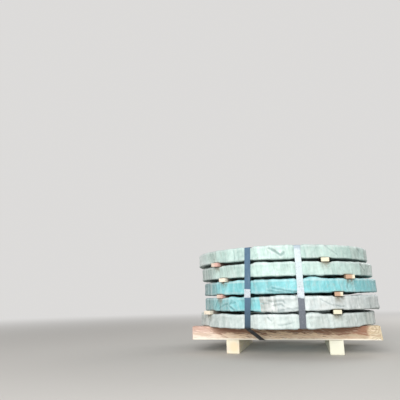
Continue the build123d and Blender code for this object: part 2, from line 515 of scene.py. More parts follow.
class Wrap:
    """One coil's wrap: a single long band that is wound round the coil, each turn lying over the last."""

    def __init__(self, number, settings):
        self.number, self.settings = number, settings
        self.radius, self.half = COIL_RADIUS + BOTTOM_LAYER, COIL_HALF + BOTTOM_LAYER
        path, normals = section_path(BORE_RADIUS - BOTTOM_LAYER, self.radius, self.half, settings.corner)
        steps = len(path)
        legs = np.linalg.norm(np.roll(path, -1, axis=0) - path, axis=1)
        run = np.concatenate([[0], np.cumsum(legs)])
        self.length = settings.turns * run[-1] + run[TAIL_ROWS]
        row, share = self.make_grid(settings.turns * steps + TAIL_ROWS)
        self.lap, step = row // steps, row % steps
        self.own = self.lap % settings.turns

        self.out, self.up = path[step].T
        self.out_normal, self.up_normal = normals[step].T
        self.face = np.abs(self.up_normal)
        self.outside, self.inside = np.maximum(self.out_normal, 0), np.maximum(-self.out_normal, 0)
        self.flat = self.face > 0.99
        self.at_rim = np.where(self.flat, ease((self.out - self.radius + 0.13) / 0.11), 1.0)
        self.by_eye = np.where(self.flat, near(self.out - BORE_RADIUS, 4 * MM, 60 * MM), self.inside)
        self.from_rim = self.half - np.abs(self.up)

        self.wind(run[step] / run[-1], share)
        self.signed = (self.azimuth + pi) % (2 * pi) - pi
        self.degrees = np.degrees(self.signed)
        self.centre = middle(f"coil_{number}")
        x, y = self.seen_from_above(self.out)
        self.on_face, self.under_strap, self.soiled = pressed(
            number, x, y, self.centre.z + self.up, self.up_normal
        )
        self.crumple(run[step])

    def make_grid(self, rows):
        """Makes the flat band as a grid; each vertex's row and its share of the way across."""
        bpy.ops.object.select_all(action="DESELECT")
        bpy.ops.mesh.primitive_grid_add(x_subdivisions=rows, y_subdivisions=COLUMNS, size=2)
        self.band = bpy.context.object
        self.band.name = self.band.data.name = f"woven_band_{self.number}"
        grid = points_of(self.band.data)
        return np.rint((grid[:, 0] + 1) / 2 * rows).astype(int), (grid[:, 1] + 1) / 2

    def wind(self, along, share):
        """Finds each vertex's angle round the coil, the layers below it and the turn that is seen over it."""
        settings = self.settings
        winding = Winding(settings.turns, FIRST_TURN + START_SHIFT * self.number, self.number)
        if self.number == TWO_TONE:
            winding.bring_seam_to(radians(SECOND_TONE[1]), settings.band_width / 2 / self.radius)
        turn = self.lap + along
        half_angle = settings.band_width / 2 / self.out
        self.azimuth = winding.centre(turn) + (2 * share - 1) * half_angle
        self.layer = turn - winding.turn_at(self.azimuth - half_angle)
        self.layer += 0.5 * ease((turn - settings.turns + 0.1) * 10)
        seen = winding.turn_at(self.azimuth + half_angle) - along
        self.lap_seen = np.floor(seen).astype(int) % settings.turns
        self.across = seen - np.floor(seen)
        self.winding = winding

    def seen_from_above(self, out):
        """Where vertices at a distance from the coil's axis lie in x and y."""
        centre = self.centre
        return centre.x + out * np.sin(self.azimuth), centre.y - out * np.cos(self.azimuth)

    def facing(self, azimuth, whole, none):
        """1 within some degrees of an angle round the coil, and 0 from others on."""
        return near(np.abs(self.degrees - azimuth), whole, none)

    def crumple(self, run):
        """Finds the kinds of unevenness of the cloth, each with its own bumps to the metre."""
        number, azimuth = self.number, self.azimuth
        place = np.stack([COIL_RADIUS * np.sin(azimuth), COIL_RADIUS * np.cos(azimuth), run], axis=1)
        slanted = place.copy()
        slanted[:, 2] += 0.45 * azimuth * COIL_RADIUS
        self.slow = ripple(place, (9, 9, 0), number)
        self.pulls = ripple(place, (34, 34, 7), number + 10)
        self.small = ripple(place, (75, 75, 20), number + 20)
        self.sharp = np.clip(1 - np.abs(ripple(slanted, (15, 15, 38), number + 30)) * 2.4, 0, 1) ** 3
        self.crushed = ripple(place, (20, 20, 62), number + 40)
        self.pleats = ripple(place, (48, 48, 3), number + 50)
        self.swell = ripple(place, (60, 60, 60), number + 60)

    def rim_slack(self):
        """How far the band stands off the coil's edges, with its puffs."""
        rim = self.settings.slack * (
            1 + 0.8 * self.facing(-3, 8, 36) + 0.6 * self.slow + 0.15 * np.sin(pi * self.across)
        )
        for coil, side, at, width, height in PUFFS:
            if coil == self.number:
                rim = rim + height * MM * self.facing(at, 1, width) * (side * self.up > 0)
        return np.maximum(rim, 0.3 * MM)

    def lift(self):
        """How far folds, the turns' raised edges and, beside the eye, pleats lift the band."""
        rise, across = 0.12, self.across
        climb = np.where(across < rise, across / rise, (1 - across) / (1 - rise))
        shingle = self.winding.edge[self.lap_seen] * MM * climb
        facets = self.settings.facet * (2 * across - 1) ** 2
        loose = WRAPS[self.number][0]
        folds = self.settings.fold * loose * (0.9 * self.pulls + 0.5 * self.small + 0.8 * self.sharp)
        if self.number == TWO_TONE:
            folds += 2.4 * MM * self.crushed * self.facing(-12, 12, 50)
        else:
            folds += 0.9 * MM * self.crushed
        on_rim = np.where(self.flat, 0.35 + 0.65 * self.at_rim, 1.0)
        by_rim = np.where(self.outside > 0, facets + 1.2 * MM, 0) + shingle * on_rim
        by_rim += folds * on_rim * (self.outside + 0.35 * self.face)
        pleated = 2.4 * MM * np.abs(self.pleats) + 0.4 * shingle
        return by_rim * (1 - self.by_eye) + pleated * self.by_eye

    def creased(self, lift):
        """The lift with the creases pressed in; how deep in one each vertex lies, and how high beside one."""
        creased, ridged = np.zeros((2, len(lift)))
        swell = 1 + 0.9 * self.swell
        for coil, millimetres, stops in CREASES:
            if coil == self.number:
                depth = millimetres * MM
                away = from_crease(self.signed + 0.008 * self.small, self.up + 4 * MM * self.pulls, stops)
                dent = swell * np.exp(-((away / (2.3 * MM + 0.45 * depth)) ** 2)) * (self.outside > 0.5)
                ridge = np.exp(-(((away - 9 * MM) / (4 * MM)) ** 2)) * (self.outside > 0.5)
                creased = np.maximum(creased, dent * depth / CREASE_UNIT)
                ridged = np.maximum(ridged, ridge * depth / CREASE_UNIT)
                lift = lift + depth * (0.5 * ridge - dent)
        return lift, creased, ridged

    def lay(self, lift):
        """Moves every vertex to its place: lifted, hanging under the coil, and held by what lies on it."""
        settings, number, up = self.settings, self.number, self.up
        rim = self.rim_slack()
        span = (self.out - BORE_RADIUS) / (self.radius - BORE_RADIUS)
        hanging = self.flat * (up < 0) * ease(span / 0.2) * ease((0.75 - span) / 0.4)
        off_face = rim * self.at_rim * (1 - self.by_eye) + settings.sag * (1 + 0.15 * self.slow) * hanging
        down_side = 0.15 + 0.85 * ease(1 - self.from_rim / 0.018)
        push_out = self.out_normal * lift + self.out_normal * rim * 0.7 * down_side * (self.outside > 0)
        push_up = self.up_normal * (lift + off_face)

        free = 1 - self.under_strap * (1 - self.inside)
        push_up *= 1 - self.on_face
        push_out = np.where(self.outside > 0, np.maximum(push_out, 0), push_out)
        push_out = free * push_out + (1 - free) * np.clip(push_out, -0.6 * MM, 0.9 * MM)
        strapped = (number == COILS[0]) & (up > 0) | (number == COILS[-1]) & (up < 0)
        push_up *= np.where(strapped, free, 1 - 0.5 * self.under_strap)
        push_up = np.where(self.up_normal > 0, np.maximum(push_up, 0), np.minimum(push_up, 0))
        covers = settings.cloth * self.layer
        x, y = self.seen_from_above(self.out + self.out_normal * covers + push_out)
        z = self.centre.z + (up + self.up_normal * covers + push_up)
        self.band.data.vertices.foreach_set("co", np.stack([x, y, z], axis=1).ravel())

    def soil(self, creased, ridged):
        """Stores each vertex's painted shade, painted highlight, tone and dust, and how much darker it is
        where laths hold it and below them.
        """
        mesh, number, up, own = self.band.data, self.number, self.up, self.own
        _, left_painted_shade, right_painted_shade, soot, _ = WRAPS[number]
        leftmost, rightmost = self.facing(-68, 8, 26), self.facing(78, 8, 24)
        tone = self.winding.tone[own]
        # Painted shade: darker in fold valleys, in creases, along each turn's edge, in the gaps between the
        # coils and under the rims
        hollow = np.clip(0.45 - 0.9 * self.pulls - 0.7 * self.small, 0, 1) * 0.30
        hollow = hollow + 0.9 * creased + 0.15 * self.sharp
        hollow += 0.30 * near(self.across, 0.0, 0.06)
        # Painted shade on the coil's left and right ends
        hollow += left_painted_shade * leftmost * (0.3 + 1.4 * tone)
        hollow += right_painted_shade * rightmost
        between = (up < 0) | (number > COILS[0])
        hollow = np.maximum(hollow, between * self.face * ease((self.radius - 0.006 - self.out) / 0.016))
        under_rim = (up < 0) * ease((self.face - 0.35) / 0.5) * (self.out > COIL_RADIUS - 0.05)
        store(mesh, "hollow", np.clip(np.maximum(hollow, 0.9 * under_rim), 0, 1))

        # Painted highlight, stored as worn: lighter along the top rims and less along the bottom ones, beside
        # creases, on raised folds and on the top coil's left end
        crest = near(self.from_rim, 2 * MM, 9 * MM) * self.outside ** 2 * np.where(up > 0, 1.0, 0.5)
        worn = np.maximum(crest * (0.75 + 0.5 * self.slow), 0.4 * ridged)
        worn += 1.4 * (number == COILS[0]) * leftmost * (1 - tone)
        worn += 0.5 * np.clip(self.small + 0.3 * self.pulls - 0.15, 0, 1)
        store(mesh, "worn", np.clip(worn, 0, 1))
        store(mesh, "turn_tone", tone)
        dusty = self.winding.dust[own] * (1 - 0.65 * self.facing(4, 24, 44))
        if number == 3:
            dusty = 0.4 * dusty
        # Soot on the left ends, which also stands in for painted shade there
        dusty = np.maximum(dusty, np.minimum(soot * leftmost * (0.5 + tone), 1.1))
        if number == TWO_TONE:
            dusty = self.change_tone(dusty)
        store(mesh, "turn_dust", dusty)
        # Darker brown where laths and timbers hold the wrap and just below each lath
        down = ease(1 - (self.half - up) / 0.040) * (self.outside > 0.1)
        store(mesh, "held", np.clip(np.maximum(self.on_face * self.face, self.soiled * down), 0, 1))

    def change_tone(self, dusty):
        """Stores which turns have the second colour; the dust, with the turn beside the seam the dustiest."""
        turn_angle = (np.degrees(self.winding.centre(self.lap + 0.5)) + 180) % 360 - 180
        second = (turn_angle > SECOND_TONE[0]) & (turn_angle < SECOND_TONE[1])
        store(self.band.data, "second_tone", second.astype(float))
        beside_seam = np.where(turn_angle > SECOND_TONE[1], turn_angle, 180).min()
        return np.where(np.abs(turn_angle - beside_seam) < 1, 1.3, dusty)

    def measure(self):
        """Turns the band's UV map into metres along and across it."""
        layer = self.band.data.uv_layers[0]
        layer.name = "band"
        flat = np.zeros(2 * len(layer.data))
        layer.data.foreach_get("uv", flat)
        flat = flat.reshape(-1, 2) * (self.length, self.settings.band_width)
        layer.data.foreach_set("uv", flat.ravel())

    def finished(self):
        """The wound band and its length when flat."""
        lift, creased, ridged = self.creased(self.lift())
        self.lay(lift)
        self.soil(creased, ridged)
        self.measure()
        self.band.data.update()
        alone(self.band)
        bpy.ops.object.shade_smooth()
        return self.band, self.length


# Shades laid over the cloth: painted shade, painted highlights, dust, soot and darker brown by the laths
CLOTH = {
    "cloud": (0.84, 0.88, 0.87), "patch": (0.88, 0.90, 0.90), "pleat": (0.62, 0.68, 0.67),
    "crest": (0.95, 0.99, 0.98), "soot": (0.66, 0.70, 0.69), "wiped": (0.95, 0.98, 0.96),
    "worn": (0.93, 0.98, 0.97), "hollow": (0.40, 0.46, 0.47), "darker_where_held": (0.24, 0.22, 0.16),
}


def woven_finish(name, base, dust, second=None):
    """Woven strip cloth: tapes over and under, turns that differ in tone, dust and soot, painted shade in the
    folds and gaps, painted highlights, and darker brown by the laths.
    """
    finish, tree, shader = new_finish(name)
    band = add(tree, "ShaderNodeUVMap", uv_map="band").outputs[0]
    place = object_place(tree)
    along, across, _ = axes(tree, band)
    weave = times(tree, *(maths(tree, "SINE", times(tree, axis, pi / TAPE)) for axis in (across, along)))
    body = base if second is None else blend(tree, attribute(tree, "second_tone"), base, second)
    turn_dust = attribute(tree, "turn_dust")
    light = maths(tree, "MULTIPLY_ADD", attribute(tree, "turn_tone"), 0.15, 0.89)
    strength = maths(tree, "MULTIPLY_ADD", turn_dust, 0.7, 0.32)
    pleats = streaky(tree, band, (6, 115, 1), 4, 0.6)
    soot = streaky(tree, band, (4, 38, 1))
    settled = mottle(tree, place, 14, 5, 0.65)
    # Darker brown where laths and timbers hold the cloth and just below the laths
    darker_where_held = times(tree, attribute(tree, "held"), spread(tree, mottle(tree, place, 60), 0.25, 0.60), 0.9)
    body = layered(
        tree, body,
        (1.0, light, "MULTIPLY"),
        (times(tree, turn_dust, 0.34), dust),
        (spread(tree, mottle(tree, place, 6, 4), 0.35, 0.70, 0.0, 0.9), CLOTH["cloud"], "MULTIPLY"),
        (spread(tree, mottle(tree, place, 45, 3, 0.6), 0.34, 0.66), CLOTH["patch"], "MULTIPLY"),
        (spread(tree, streaky(tree, band, (12, 60, 1), 4), 0.50, 0.72, 0.0, 0.24), dust),
        # Painted shade in the pleats' troughs and painted highlight on their crests, stronger on dusty turns
        (times(tree, spread(tree, pleats, 0.30, 0.46, 1.0, 0.0), strength), CLOTH["pleat"], "MULTIPLY"),
        (times(tree, spread(tree, pleats, 0.53, 0.68), strength, 0.5), CLOTH["crest"]),
        (times(tree, spread(tree, soot, 0.36, 0.50, 1.0, 0.0), turn_dust), CLOTH["soot"], "MULTIPLY"),
        (times(tree, spread(tree, soot, 0.52, 0.66, 0.0, 0.55), turn_dust), CLOTH["wiped"]),
        (spread(tree, settled, 0.54, 0.80, 0.0, 0.35), dust),
        # Painted highlight from the worn attribute
        (times(tree, attribute(tree, "worn"), 0.55), CLOTH["worn"]),
        # Painted shade, multiplied into the cloth's colour
        (times(tree, attribute(tree, "hollow"), 0.85), CLOTH["hollow"], "MULTIPLY"),
        (darker_where_held, CLOTH["darker_where_held"]),
        (1.0, spread(tree, weave, -1, 1, 0.93, 1.04), "MULTIPLY"),
    )
    cells = add(tree, "ShaderNodeTexVoronoi", {"Vector": stretched(tree, band, (20, 42, 1)), "Scale": 1.0})
    connect(tree, shader, {
        "Base Color": body,
        "Roughness": spread(tree, settled, 0.3, 0.8, 0.42, 0.66),
        "Specular IOR Level": 0.38,
        "Sheen Weight": 0.12,
        "Normal": embossed(
            tree,
            (streaky(tree, turned(tree, band, (0, 0, 0.6)), (16, 60, 1), 3, 0.6), 5 * MM, 0.6),
            (pleats, 2.2 * MM, 0.6),
            (cells.outputs["Distance"], 4 * MM, 0.3),
            (mottle(tree, place, 85, 4, 0.65), 2.0 * MM, 0.6),
            (weave, 0.25 * MM, 0.5),
        ),
    })
    return finish


class COILPACK_OT_wraps(bpy.types.Operator):
    """Wind the woven band round each coil and give it its cloth"""

    bl_idname = "coilpack.wraps"
    bl_label = "Wind the wraps"

    def execute(self, context):
        settings = context.scene.coil_wraps
        dust = rgb(settings.dust)
        mint = woven_finish("woven_mint", rgb(settings.mint), dust)
        teal = woven_finish("woven_teal", rgb(settings.teal), dust)
        mixed = woven_finish("woven_grey_and_teal", rgb(settings.grey), dust, rgb(settings.teal))
        pale = woven_finish("woven_pale", rgb(settings.pale), dust)
        for number, finish in zip(COILS, (mint, mint, teal, mixed, pale)):
            band, band_length = Wrap(number, settings).finished()
            stand_in(band, f"wrap_{number}", finish)
        return {"FINISHED"}


# The steel coils

STRIP_GAUGE = 1.6 * MM              # from one turn of the strip to the next


def strip_finish(number, base):
    """Bare slit strip: fine rings on the coil's ends, one for each turn, and oily spots."""
    finish, tree, shader = new_finish(f"strip_edges_{number}")
    centre = middle(f"coil_{number}")
    place = stretched(tree, object_place(tree), (1, 1, 1), (-centre.x, -centre.y, -centre.z))
    x, y, _ = axes(tree, place)
    radial = from_axis(tree, x, y)
    rings = maths(tree, "SINE", times(tree, radial, 2 * pi / STRIP_GAUGE))
    uneven = mottle(tree, add(tree, "ShaderNodeCombineXYZ", {0: radial}).outputs[0], 320, 2)
    worn = mottle(tree, place, 9, 4)
    oil = (0.30, 0.24, 0.19)
    body = layered(
        tree, base,
        (spread(tree, uneven, 0.3, 0.7), rgb(base, 0.72)),
        (spread(tree, worn, 0.55, 0.75, 0.0, 0.5), oil),
    )
    connect(tree, shader, {
        "Base Color": body,
        "Metallic": 0.9,
        "Roughness": spread(tree, worn, 0.3, 0.7, 0.28, 0.5),
        "Normal": embossed(tree, (rings, 0.4 * MM, 0.6)),
    })
    return finish


class COILPACK_OT_coils(bpy.types.Operator):
    """Give the bare steel coils their strip edges"""

    bl_idname = "coilpack.coils"
    bl_label = "Finish the steel coils"

    def execute(self, context):
        base = rgb(context.scene.coil_steel.coil)
        for number in COILS:
            coat(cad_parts[f"coil_{number}"], strip_finish(number, base))
        return {"FINISHED"}


# The sawn timbers and laths

SAW_GAP = 5 * MM                    # from one saw mark to the next
GROOVE = 1.3 * MM                   # how deep a strap presses into the timber it lies on
GROOVE_MARGIN = 6 * MM              # how far the groove reaches past the strap's edges
OUT_OF_SQUARE = 7 * MM              # how much shorter the cross timbers' right end is at its top


def select_edges(piece, test):
    """Selects the edges whose two ends pass a test, in edit mode."""
    bpy.ops.mesh.select_mode(type="EDGE")
    mesh = bmesh.from_edit_mesh(piece.data)
    for edge in mesh.edges:
        edge.select = bool(test(*(v.co for v in edge.verts)))
    mesh.select_flush_mode()
    bmesh.update_edit_mesh(piece.data)


def sawn_bar(name, size, pitch, edge, rough, seed, cuts=6):
    """A sawn bar along X about the origin: cut finely, its corners worn and its faces slightly uneven."""
    bpy.ops.object.select_all(action="DESELECT")
    bpy.ops.mesh.primitive_cube_add(size=1)
    bar = bpy.context.object
    bar.name = bar.data.name = name
    bpy.ops.transform.resize(value=size)
    bpy.ops.object.transform_apply(location=True, rotation=True, scale=True)
    half = Vector(size) / 2
    bpy.ops.object.mode_set(mode="EDIT")
    select_edges(bar, lambda a, b: abs(a.x - b.x) > half.x)
    bpy.ops.mesh.subdivide(number_cuts=round(size[0] / pitch))
    for axis in (1, 2):
        select_edges(bar, lambda a, b: abs(a[axis] - b[axis]) > half[axis])
        bpy.ops.mesh.subdivide(number_cuts=cuts)

    def on_corner(point):
        return sum(abs(abs(point[i]) - half[i]) < 1e-5 for i in range(3)) > 1

    select_edges(bar, lambda a, b: all(on_corner(point) for point in (a, b, (a + b) / 2)))
    bpy.ops.mesh.bevel(offset=edge, segments=2, affect="EDGES")
    bpy.ops.object.mode_set(mode="OBJECT")
    write_grain(bar, seed)
    uneven = bpy.data.textures.new(f"{name}_uneven", "CLOUDS")
    uneven.noise_scale = 0.045
    uneven.noise_depth = 3
    modifier = bar.modifiers.new("uneven", "DISPLACE")
    modifier.texture = uneven
    modifier.texture_coords = "LOCAL"
    modifier.strength = -rough
    modifier.mid_level = 0.0
    alone(bar)
    bpy.ops.object.modifier_apply(modifier=modifier.name)
    return bar


def write_grain(bar, seed):
    """Stores each point's place in the log: X along the grain, and the heart of the log beside the bar."""
    random = np.random.default_rng(seed)
    points = points_of(bar.data)
    tilt = random.uniform(0, 2 * pi)
    in_log = points.copy()
    in_log[:, 1] = points[:, 1] * cos(tilt) - points[:, 2] * sin(tilt) + random.uniform(0.02, 0.07)
    in_log[:, 2] = points[:, 1] * sin(tilt) + points[:, 2] * cos(tilt) + random.uniform(-0.03, 0.03)
    in_log[:, 0] += 3.1 * seed
    store(bar.data, "grain", in_log, "FLOAT_VECTOR")


def place_bar(bar, place, turn):
    """Turns a bar about the vertical and moves it to its place."""
    bar.matrix_world = Matrix.Translation(place) @ Matrix.Rotation(turn, 4, "Z")
    alone(bar)
    bpy.ops.object.transform_apply(location=True, rotation=True, scale=True)


def join(pieces, name):
    bpy.ops.object.select_all(action="DESELECT")
    for piece in pieces:
        piece.select_set(True)
    bpy.context.view_layer.objects.active = pieces[0]
    bpy.ops.object.join()
    joined = bpy.context.object
    joined.name = joined.data.name = name
    return joined


def smooth(piece):
    alone(piece)
    bpy.ops.object.shade_smooth_by_angle(angle=radians(40))


def wood_pattern(tree, base, late, ring_gap, depth=0.6):
    """Growth rings and fibres in the log's own axes, laid over a base colour."""
    grain = attribute(tree, "grain", "Vector")
    _, y, z = axes(tree, grain)
    warp = streaky(tree, grain, (2.2, 14, 14), 2)
    radial = plus(tree, from_axis(tree, y, z), times(tree, warp, 0.030))
    rings = spread(tree, maths(tree, "PINGPONG", radial, ring_gap / 2), 0.12 * ring_gap, 0.5 * ring_gap)
    fibres = streaky(tree, grain, (9, 420, 420), 3, 0.6)
    ringed, fibrous = times(tree, rings, depth), spread(tree, fibres, 0.45, 0.75, 0.0, 0.45)
    return grain, layered(tree, base, (ringed, late), (fibrous, late)), fibres, rings


def wood_surface(tree, shader, body, grain, fibres, rings):
    """The sawn surface: raised fibres, saw marks across the grain and a dry sheen."""
    x, _, _ = axes(tree, grain)
    wobble = times(tree, mottle(tree, grain, 30, 2), 6.0)
    marks = maths(tree, "SINE", plus(tree, times(tree, x, 2 * pi / SAW_GAP), wobble))
    connect(tree, shader, {
        "Base Color": body,
        "Roughness": spread(tree, fibres, 0.3, 0.8, 0.62, 0.88),
        "Specular IOR Level": 0.28,
        "Normal": embossed(tree, (fibres, 0.7 * MM, 0.7), (rings, 0.4 * MM, 0.3), (marks, 0.25 * MM, 0.35)),
    })


def lath_finish(dirt):
    """Lath wood, tinted piece by piece by the colour stored on it."""
    finish, tree, shader = new_finish("lath_wood")
    tint = attribute(tree, "tint", "Color")
    late = blend(tree, 1.0, tint, (0.90, 0.80, 0.68), "MULTIPLY")
    grain, body, fibres, rings = wood_pattern(tree, tint, late, 5.5 * MM)
    dirty = spread(tree, mottle(tree, object_place(tree), 55, 4), 0.55, 0.8, 0.0, 0.55)
    wood_surface(tree, shader, blend(tree, dirty, body, dirt), grain, fibres, rings)
    return finish


# Which wood each front lath is cut from, by its layer and side
LATH_WOODS = {
    (1, "left"): "pink", (1, "right"): "yellow", (2, "left"): "cream", (2, "right"): "orange",
    (3, "left"): "pink", (3, "right"): "orange", (4, "left"): "cream", (4, "right"): "yellow",
}

# How wide the narrower front laths are cut, as a share of the usual width
LATH_SHARES = {
    (1, "right"): 0.87, (2, "left"): 0.88, (3, "left"): 0.94, (3, "right"): 0.87, (4, "right"): 0.88,
}


class COILPACK_OT_laths(bpy.types.Operator):
    """Saw the laths that part the coils"""

    bl_idname = "coilpack.laths"
    bl_label = "Saw the laths"

    def execute(self, context):
        settings = context.scene.coil_wood
        finish = lath_finish(rgb(settings.brown))
        for layer, laths in LATHS.items():
            bars = []
            for index, lath in enumerate(laths):
                side = "left" if lath.azimuth < 0 else "right"
                front = abs(lath.azimuth) < pi / 2
                share = LATH_SHARES.get((layer, side), 1) if front else 1
                size = (2 * lath.half_length, 2 * share * lath.half_width, lath.high - lath.low)
                seed = 10 * layer + index
                bar = sawn_bar(
                    f"lath_{layer}_{index}", size, pitch=12 * MM, edge=1.2 * MM, rough=0.5 * settings.rough,
                    seed=seed, cuts=4,
                )
                self.cut_end(bar, size[0] / 2, seed)
                self.tint(bar, settings, LATH_WOODS[layer, side] if front else "cream", seed)
                turn = np.arctan2(lath.along[1], lath.along[0])
                place_bar(bar, (*lath.centre, (lath.low + lath.high) / 2), turn)
                bars.append(bar)
            piece = join(bars, f"laths_{layer}")
            smooth(piece)
            stand_in(piece, f"spacers_{layer}", finish)
        return {"FINISHED"}

    @staticmethod
    def cut_end(bar, reach, seed):
        """Saws the ends a little out of square and leaves them ragged."""
        random = np.random.default_rng(seed)
        slope_y, slope_z = random.uniform(-0.05, 0.05, 2)
        for vertex in bar.data.vertices:
            if abs(vertex.co.x) > reach - 3 * MM:
                ragged = 0.5 * MM * abs(noise.noise(vertex.co * 260 + Vector((seed, 0, 0))))
                inward = abs(slope_y * vertex.co.y) + abs(slope_z * vertex.co.z) + ragged
                vertex.co.x -= inward if vertex.co.x > 0 else -inward

    @staticmethod
    def tint(bar, settings, wood, seed):
        """Stores the lath's shade of wood: orange wood has a pale right edge, and pink wood a darker red one
        that is painted shade; each lath is painted darker deeper in, as shade between the coils.
        """
        shade = np.random.default_rng(seed + 100).uniform(0.89, 0.98) + (0.04 if wood == "cream" else -0.02)
        points = points_of(bar.data)
        across = points[:, 1:2]
        cream, pink, yellow = (np.array(c[:]) for c in (settings.cream, settings.pink, settings.yellow))
        body = (cream + pink) / 2 if wood == "pink" else getattr(settings, wood)[:]
        # Pink wood's darker red right edge is painted shade
        border = {"orange": yellow, "pink": pink * (0.96, 0.84, 0.86)}.get(wood, body)
        at_border = ease((across / across.max() - (0.25 if wood == "orange" else 0.1)) / 0.2)
        colours = (1 - at_border) * body + at_border * border
        from_end = points.max() - points[:, :1]
        # Painted shade: darker from 20 mm in from the outer end, where the lath lies between the coils
        colours = colours * (1 - 0.7 * ease((from_end - 20 * MM) / (14 * MM)))
        values = np.hstack([np.minimum(shade * colours, 1), np.ones(across.shape)])
        store(bar.data, "tint", values, "FLOAT_COLOR")


# Shades of the cross timbers' wood beside those that a user may change
TIMBER = {
    "heart": (0.96, 0.73, 0.50), "red": (0.50, 0.38, 0.25), "sapwood": (0.76, 0.68, 0.49),
    "late": (0.84, 0.70, 0.56), "bare": (0.97, 0.82, 0.68), "edge": (1.0, 0.94, 0.80),
    "curl": (0.42, 0.28, 0.16),
}


def stain(tree, place, tilted, upper, right_end, left):
    """How brown a cross timber is: streaks, denser higher up, to the right and round a knot."""
    x, _, _ = axes(tree, place)
    streak = streaky(tree, tilted, (13, 50, 82), 4, 0.65, (0.9, 0, 2.4))
    broad = streaky(tree, place, (5, 10, 10), 2)
    fine = streaky(tree, tilted, (22, 110, 300), 3, 0.6, (3, 1, 2))
    from_knot = distance_to(tree, x, left + 0.20)
    height = plus(
        tree,
        spread(tree, upper, 0, 1, -0.13, 0.11),
        spread(tree, broad, 0.3, 0.7, -0.04, 0.04),
        times(tree, spread(tree, x, 0.15, 0.32, 0.0, 0.20), spread(tree, upper, 0.0, 0.4)),
        times(tree, spread(tree, from_knot, 0.03, 0.13, 0.17, 0.0), spread(tree, upper, 0.05, 0.5)),
        spread(tree, fine, 0.25, 0.75, -0.10, 0.10),
    )
    return times(
        tree,
        spread(tree, plus(tree, streak, height), 0.47, 0.59),
        spread(tree, right_end, 0, 1, 0.80, 0.12),
        spread(tree, x, left + 0.05, left + 0.17, 0.30, 1.0),
    )


def stained_timber(settings):
    """Cross timber: pink at the left, pale sapwood at the right end, brown streaks over a cream edge."""
    finish, tree, shader = new_finish("cross_timber_wood")
    cream, pink, orange, brown = map(rgb, (settings.cream, settings.pink, settings.orange, settings.brown))
    low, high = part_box("cross_timber_front")
    place = object_place(tree)
    x, _, z = axes(tree, place)
    ragged = raggedly(tree, place, 14, 0.10, x)
    right_end = spread(tree, ragged, high.x - 0.026, high.x + 0.014)
    heartwood = spread(tree, ragged, low.x + 0.08, low.x + 0.32)
    reddish = maths(tree, "SUBTRACT", spread(tree, x, 0.18, 0.36), right_end)
    body = layered(
        tree, pink,
        (heartwood, TIMBER["heart"]),
        (maths(tree, "MAXIMUM", reddish, 0.0), TIMBER["red"]),
        (right_end, TIMBER["sapwood"]),
    )
    late = blend(tree, 1.0, body, TIMBER["late"], "MULTIPLY")
    grain, body, fibres, rings = wood_pattern(tree, body, late, 9 * MM, 0.4)
    sawn_end = blend(tree, times(tree, rings, 0.75), body, late)

    rise = times(tree, streaky(tree, place, (7, 20, 20), 2), 0.030)
    bend = add(tree, "ShaderNodeCombineXYZ", {2: rise}).outputs[0]
    bent = add(tree, "ShaderNodeVectorMath", {0: place, 1: bend}, operation="ADD").outputs[0]
    tilted = turned(tree, bent, (0, -0.14, 0))
    upper = spread(tree, z, low.z + 0.012, high.z - 0.008)
    lower_edge = times(
        tree,
        maths(tree, "SUBTRACT", 1.0, upper),
        spread(tree, heartwood, 0, 1, 0.85, 0.25),
        spread(tree, x, 0.28, 0.38, 1.0, 0.4),
    )
    resin = streaky(tree, tilted, (7, 30, 42), location=(4, 2, 1))
    thin = streaky(tree, tilted, (16, 90, 190), 3, 0.6, (1, 5, 3))
    edge = raggedly(tree, place, 30, 0.008, z)
    # Painted shadow of the coil's overhang along the timber's top
    top = spread(tree, z, high.z - 0.014, high.z - 0.002, 0.0, 0.6)
    curl = maths(tree, "MULTIPLY_ADD", z, 5.0, streaky(tree, bent, (12, 25, 15), 2))
    lines = spread(tree, maths(tree, "PINGPONG", curl, 0.045), 0.004, 0.034, 0.5, 0.0)
    half = (high.x - low.x) / 2
    from_middle = distance_to(tree, x, (low.x + high.x) / 2)
    at_right = times(tree, spread(tree, from_middle, half - 10 * MM, half - 7 * MM), right_end)
    at_left = spread(tree, x, low.x + 2 * MM, low.x + 4 * MM, 1.0, 0.0)
    body = layered(
        tree, body,
        (lower_edge, cream),
        (spread(tree, resin, 0.50, 0.66, 0.0, 0.55), orange),
        (stain(tree, place, tilted, upper, right_end, low.x), brown),
        (spread(tree, thin, 0.54, 0.66, 0.0, 0.45), brown),
        (spread(tree, thin, 0.32, 0.45, 0.6, 0.0), TIMBER["bare"]),
        (spread(tree, edge, low.z + 0.010, low.z + 0.014, 0.9, 0.0), TIMBER["edge"]),
        # Painted shadow along the top, in the stain's brown
        (times(tree, top, spread(tree, right_end, 0, 1, 1.0, 0.0), heartwood), brown),
        (times(tree, lines, right_end), TIMBER["curl"]),
        (maths(tree, "MAXIMUM", at_left, at_right), sawn_end),
    )
    wood_surface(tree, shader, body, grain, fibres, rings)
    return finish


